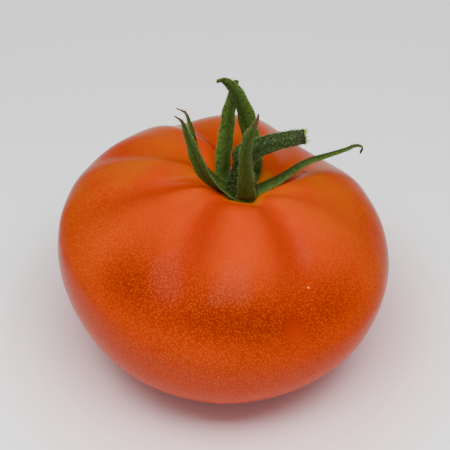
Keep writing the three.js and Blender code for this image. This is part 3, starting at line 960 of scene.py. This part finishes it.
def hair_surface(feet, directions, lengths, radius):
    """Closed three-sided spikes, four faces each: a small triangle at each foot, and a tip."""
    other = np.where(np.abs(directions[:, 2:]) < 0.9, (0.0, 0.0, 1.0), (1.0, 0.0, 0.0))
    first = unit(np.cross(directions, other))
    second = np.cross(directions, first)
    turn = 2 * np.pi * np.arange(3) / 3
    ring = first[:, None] * np.cos(turn)[:, None] + second[:, None] * np.sin(turn)[:, None]
    base = feet[:, None] + ring * radius
    tip = feet + directions * lengths[:, None]
    points = np.concatenate([base, tip[:, None]], axis=1)
    start = 4 * np.arange(len(feet))[:, None, None]
    faces = start + np.array([(0, 2, 1), (0, 1, 3), (1, 2, 3), (2, 0, 3)])
    return points.reshape(-1, 3), faces.reshape(-1, 3)


def plant_hair(colours):
    """Fine plant hairs, clear and pale.

    They give the green parts a light down along their outlines.
    """
    material, tree, place = new_material("plant_hair")
    spread = add_node(tree, "TexNoise", {"Vector": place, "Scale": 1 / (HAIR_MOTTLE * MM)})
    finish_surface(tree, colours.hair, [(spread.outputs["Fac"], colours.leaf)], {"Roughness": 0.45})
    return material


class TOMATO_OT_hairs(bpy.types.Operator):
    """Scatters short hairs over the stem and the sepals, and a few long ones on the stem"""

    bl_idname = "tomato.hairs"
    bl_label = "Hairs"

    def execute(self, context):
        sizes, colours = context.scene.tomato_sizes, context.scene.tomato_colours
        down = plant_hair(colours)
        radius, mean = sizes.hair_radius / MM, sizes.hair_length / MM
        rng = np.random.default_rng(HAIR_SEED)

        count = sizes.stem_hairs
        foot, cut = STEM_HAIR_ENDS
        at = rng.uniform(foot, stem_length() - cut, count)
        angle = rng.uniform(0, 2 * np.pi, count)
        feet, facing, tangent = stem_points(at, angle)
        aim = unit(facing + STEM_HAIR_LEAN * tangent
                   + rng.normal(scale=STEM_HAIR_SPREAD, size=(count, 3)))
        size = mean * rng.uniform(*STEM_HAIR_SIZES, count)
        size = np.where(rng.random(count) < LONG_SHARE, size * LONG_SIZE, size)
        points, faces = hair_surface(feet - facing * STEM_HAIR_SUNK, aim, size, radius)
        make_piece("stem_hairs", points, faces, down, "stem")

        count = sizes.sepal_hairs
        root, tip = SEPAL_HAIR_ENDS
        rims = [0, SEPAL_SIDES // 2]
        sets = []
        for spec in SEPALS.values():
            points = sepal_surface(spec, sizes.sepal_thickness / MM)[0]
            grid = points[:-2].reshape(SEPAL_ROWS, SEPAL_SIDES, 3)
            rise = np.gradient(grid, axis=0)
            around = np.roll(grid, -1, axis=1) - np.roll(grid, 1, axis=1)
            facing = unit(np.cross(around, rise))
            row = rng.integers(root, SEPAL_ROWS - tip, count)
            column = np.where(rng.random(count) < RIM_SHARE,
                              rng.choice([0, 1, -1], count) + rng.choice(rims, count),
                              rng.integers(0, SEPAL_SIDES, count)) % SEPAL_SIDES
            foot, normal, along = grid[row, column], facing[row, column], unit(rise[row, column])
            aim = unit(normal + SEPAL_HAIR_LEAN * along
                       + rng.normal(scale=SEPAL_HAIR_SPREAD, size=(count, 3)))
            size = mean * rng.uniform(*SEPAL_HAIR_SIZES, count)
            sets.append(hair_surface(foot - normal * SEPAL_HAIR_SUNK, aim, size, radius))
        points = np.vstack([p for p, _ in sets])
        starts = np.cumsum([0] + [len(p) for p, _ in sets[:-1]])
        faces = np.vstack([f + s for (_, f), s in zip(sets, starts)])
        make_piece("sepal_hairs", points, faces, down, "calyx")
        return {"FINISHED"}


# The stage.

class TOMATO_OT_stage(bpy.types.Operator):
    """Sets the pale floor, the soft overhead light and the camera"""

    bl_idname = "tomato.stage"
    bl_label = "Stage"

    def execute(self, context):
        scene, colours = context.scene, context.scene.tomato_colours
        material, tree, place = new_material("floor_paper")
        axes = add_node(tree, "SeparateXYZ", {0: place})
        # Painted falloff of light: the floor dims along Y.
        far = add_node(tree, "MapRange", {
            "Value": axes.outputs["Y"], "From Min": FLOOR_SHADE_FADE[0] * MM, "From Max": FLOOR_SHADE_FADE[1] * MM})
        away = add_node(tree, "VectorMath", {0: place}, operation="LENGTH")
        # Painted red bounce light from the fruit on the floor beside it.
        near = add_node(tree, "MapRange", {
            "Value": away.outputs["Value"], "From Min": BOUNCE_FADE[0] * MM,
            "From Max": BOUNCE_FADE[1] * MM, "To Min": 1, "To Max": 0})
        layers = [(far, colours.floor_back_shade), (near, colours.floor_red_bounce)]
        finish_surface(tree, colours.floor, layers, {"Roughness": 0.9})

        mesh = bpy.data.meshes.new("floor")
        corners = [(x * FLOOR_HALF * MM, y * FLOOR_HALF * MM, -FLOOR_DROP * MM)
                   for x, y in ((-1, -1), (1, -1), (1, 1), (-1, 1))]
        mesh.from_pydata(corners, [], [(0, 1, 2, 3)])
        mesh.materials.append(material)
        floor = bpy.data.objects.new("floor", mesh)
        scene.collection.objects.link(floor)

        lamp = bpy.data.lights.new("softbox", "AREA")
        lamp.shape = "RECTANGLE"
        lamp.size, lamp.size_y = (side * MM for side in SOFTBOX_SIZE)
        lamp.energy = SOFTBOX_WATTS
        box = bpy.data.objects.new("softbox", lamp)
        box.location = Vector(SOFTBOX_AT) * MM
        box.rotation_mode = "QUATERNION"
        box.rotation_quaternion = (Vector(SOFTBOX_AIM) - Vector(SOFTBOX_AT)).to_track_quat("-Z", "Y")
        scene.collection.objects.link(box)

        world = bpy.data.worlds.new("room")
        world.use_nodes = True
        sky = world.node_tree.nodes["Background"]
        sky.inputs["Color"].default_value = hex_colour(ROOM_COLOUR)
        sky.inputs["Strength"].default_value = ROOM_LIGHT
        scene.world = world

        camera = bpy.data.objects.new("camera", bpy.data.cameras.new("camera"))
        camera.data.sensor_width = CAMERA_SENSOR
        camera.data.lens = CAMERA_LENS
        back = np.array([0, -np.cos(CAMERA_ELEVATION), np.sin(CAMERA_ELEVATION)])
        camera.location = (CAMERA_TARGET + back * CAMERA_DISTANCE) * MM
        camera.rotation_mode = "QUATERNION"
        camera.rotation_quaternion = Vector(-back).to_track_quat("-Z", "Y")
        camera.data.clip_start, camera.data.clip_end = (far * MM for far in CAMERA_CLIP)
        scene.collection.objects.link(camera)
        scene.camera = camera
        return {"FINISHED"}


OPERATORS = (TOMATO_OT_fruit, TOMATO_OT_calyx, TOMATO_OT_stem, TOMATO_OT_cut_end, TOMATO_OT_hairs,
             TOMATO_OT_stage)


class TOMATO_PT_panel(bpy.types.Panel):
    """Lists the tomato's pieces, sizes and colours"""

    bl_label = "Tomato"
    bl_idname = "TOMATO_PT_panel"
    bl_space_type = "VIEW_3D"
    bl_region_type = "UI"
    bl_category = "Tomato"

    def draw(self, context):
        for operator in OPERATORS:
            self.layout.operator(operator.bl_idname)
        for group in (context.scene.tomato_sizes, context.scene.tomato_colours):
            for name in group.__annotations__:
                self.layout.prop(group, name)


CLASSES = (TomatoSizes, TomatoColours, *OPERATORS, TOMATO_PT_panel)


def register():
    for cls in CLASSES:
        bpy.utils.register_class(cls)
    bpy.types.Scene.tomato_sizes = PointerProperty(type=TomatoSizes)
    bpy.types.Scene.tomato_colours = PointerProperty(type=TomatoColours)


def unregister():
    del bpy.types.Scene.tomato_colours
    del bpy.types.Scene.tomato_sizes
    for cls in reversed(CLASSES):
        bpy.utils.unregister_class(cls)


def main():
    """Registers the classes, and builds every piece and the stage."""
    register()
    tomato = bpy.ops.tomato
    for build in (tomato.fruit, tomato.calyx, tomato.stem, tomato.cut_end, tomato.hairs, tomato.stage):
        build()


if __name__ == "__main__":
    main()
